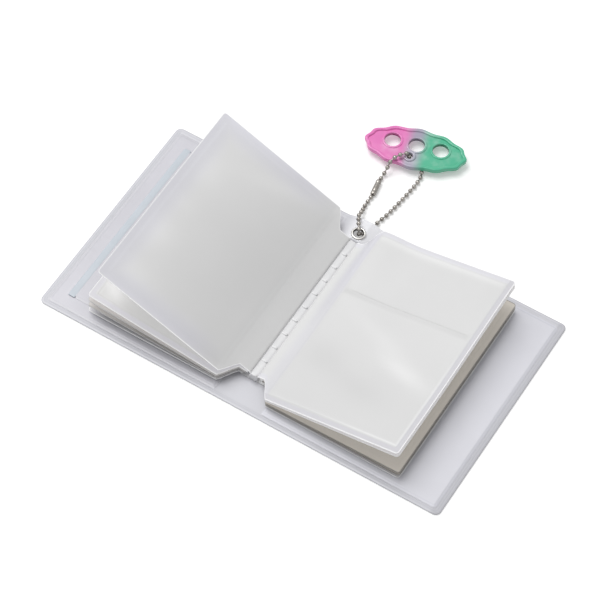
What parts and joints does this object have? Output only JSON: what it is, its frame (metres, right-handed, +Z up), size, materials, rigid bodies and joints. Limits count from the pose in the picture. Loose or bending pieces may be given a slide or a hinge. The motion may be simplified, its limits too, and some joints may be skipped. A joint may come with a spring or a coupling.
{
  "type": "photocard binder",
  "caption": "Clear film photocard binder lying open, with welded pocket leaves on a creased spine, a head eyelet and a ball chain that carries a moulded charm.",
  "frame": {"origin": "on the table under the middle of the open cover, at mid height of the spine", "axes": "+X across the open cover from the front cover to the back cover, +Y along the spine towards the head eyelet, +Z up from the table"},
  "size_m": [0.2336, 0.1965, 0.0435],
  "materials": {
    "cover_film": "milky soft film with a satin gloss",
    "lining_film": "milky soft film with a satin gloss",
    "leaf_film": "thin translucent film with bright cut edges",
    "pocket_binding": "pale blue tinted film",
    "binding_strip": "opaque white film with welded ticks",
    "nickel": "nickel plate",
    "charm": "glossy moulding graded from pink through grey lilac to green"
  },
  "bodies": {
    "spine": {"spine_film": "cover_film", "binding_strip": "binding_strip", "eyelet": "nickel", "chain_eyelet_run": "nickel"},
    "front_cover": {"front_cover_film": "cover_film", "front_lining_film": "lining_film", "front_pocket_panel": "lining_film", "front_pocket_binding": "pocket_binding"},
    "back_cover": {"back_cover_film": "cover_film", "back_lining_film": "lining_film"},
    "leaf_1": {"leaf_1_lower_film": "leaf_film", "leaf_1_upper_film": "leaf_film"},
    "leaf_2": {"leaf_2_lower_film": "leaf_film", "leaf_2_upper_film": "leaf_film"},
    "leaf_3": {"leaf_3_lower_film": "leaf_film", "leaf_3_upper_film": "leaf_film"},
    "leaf_4": {"leaf_4_lower_film": "leaf_film", "leaf_4_upper_film": "leaf_film"},
    "leaf_5": {"leaf_5_lower_film": "leaf_film", "leaf_5_upper_film": "leaf_film"},
    "leaf_6": {"leaf_6_lower_film": "leaf_film", "leaf_6_upper_film": "leaf_film"},
    "leaf_7": {"leaf_7_lower_film": "leaf_film", "leaf_7_upper_film": "leaf_film"},
    "leaf_8": {"leaf_8_lower_film": "leaf_film", "leaf_8_upper_film": "leaf_film"},
    "leaf_9": {"leaf_9_lower_film": "leaf_film", "leaf_9_upper_film": "leaf_film"},
    "leaf_10": {"leaf_10_lower_film": "leaf_film", "leaf_10_upper_film": "leaf_film"},
    "chain_loop": {"chain_front_run": "nickel", "chain_connector": "nickel", "chain_charm_run": "nickel", "chain_back_run": "nickel"},
    "charm": {"charm": "charm"}
  },
  "joints": [
    {"name": "front_cover_fold", "type": "hinge", "parent": "spine", "child": "front_cover", "pos_m": [-0.012, 0, 0.0002], "axis": [0, 1, 0], "range_deg": [0, 88]},
    {"name": "back_cover_fold", "type": "hinge", "parent": "spine", "child": "back_cover", "pos_m": [0.012, 0, 0.0002], "axis": [0, -1, 0], "range_deg": [0, 88]},
    {"name": "leaf_1_turn", "type": "hinge", "parent": "spine", "child": "leaf_1", "pos_m": [-0.0067, 0, 0.0022], "axis": [0, 1, 0], "range_deg": [0, 87.5]},
    {"name": "leaf_2_turn", "type": "hinge", "parent": "spine", "child": "leaf_2", "pos_m": [-0.0056, 0, 0.0033], "axis": [0, 1, 0], "range_deg": [0, 85.3]},
    {"name": "leaf_3_turn", "type": "hinge", "parent": "spine", "child": "leaf_3", "pos_m": [-0.0045, 0, 0.0044], "axis": [0, 1, 0], "range_deg": [0, 83.1]},
    {"name": "leaf_4_turn", "type": "hinge", "parent": "spine", "child": "leaf_4", "pos_m": [-0.0034, 0, 0.0055], "axis": [0, 1, 0], "range_deg": [0, 80.9]},
    {"name": "leaf_5_turn", "type": "hinge", "parent": "leaf_4", "child": "leaf_5", "pos_m": [-0.0023, 0, 0.0066], "axis": [0, -1, 0], "range_deg": [-80, 16.4], "stiffness_Nm_per_rad": 0.3},
    {"name": "leaf_10_turn", "type": "hinge", "parent": "spine", "child": "leaf_10", "pos_m": [0.0075, 0, 0.00165], "axis": [0, -1, 0], "range_deg": [0, 88]},
    {"name": "leaf_9_turn", "type": "hinge", "parent": "spine", "child": "leaf_9", "pos_m": [0.0064, 0, 0.00275], "axis": [0, -1, 0], "range_deg": [0, 87.3]},
    {"name": "leaf_8_turn", "type": "hinge", "parent": "spine", "child": "leaf_8", "pos_m": [0.0053, 0, 0.00385], "axis": [0, -1, 0], "range_deg": [0, 86.5]},
    {"name": "leaf_7_turn", "type": "hinge", "parent": "leaf_8", "child": "leaf_7", "pos_m": [0.0042, 0, 0.00495], "axis": [0, 1, 0], "range_deg": [-22, 8.2], "stiffness_Nm_per_rad": 0.6},
    {"name": "leaf_6_turn", "type": "hinge", "parent": "leaf_7", "child": "leaf_6", "pos_m": [0.0031, 0, 0.00605], "axis": [0, 1, 0], "range_deg": [-30, 0.7], "stiffness_Nm_per_rad": 0.3},
    {"name": "chain_lift", "type": "hinge", "parent": "spine", "child": "chain_loop", "pos_m": [-0.0064, 0.0664, 0.0041], "axis": [1, 0, 0], "range_deg": [0, 60]},
    {"name": "charm_swing", "type": "hinge", "parent": "chain_loop", "child": "charm", "pos_m": [-0.00335, 0.11074, 0.0028], "axis": [0, 0, 1], "range_deg": [-30, 3]}
  ],
  "couplings": [
    {"joint": "leaf_1_turn", "follows": "front_cover_fold", "ratio": 0.99318},
    {"joint": "leaf_2_turn", "follows": "front_cover_fold", "ratio": 0.96818},
    {"joint": "leaf_3_turn", "follows": "front_cover_fold", "ratio": 0.94318},
    {"joint": "leaf_4_turn", "follows": "front_cover_fold", "ratio": 0.91818},
    {"joint": "leaf_10_turn", "follows": "back_cover_fold", "ratio": 1},
    {"joint": "leaf_9_turn", "follows": "back_cover_fold", "ratio": 0.99091},
    {"joint": "leaf_8_turn", "follows": "back_cover_fold", "ratio": 0.98182}
  ]
}
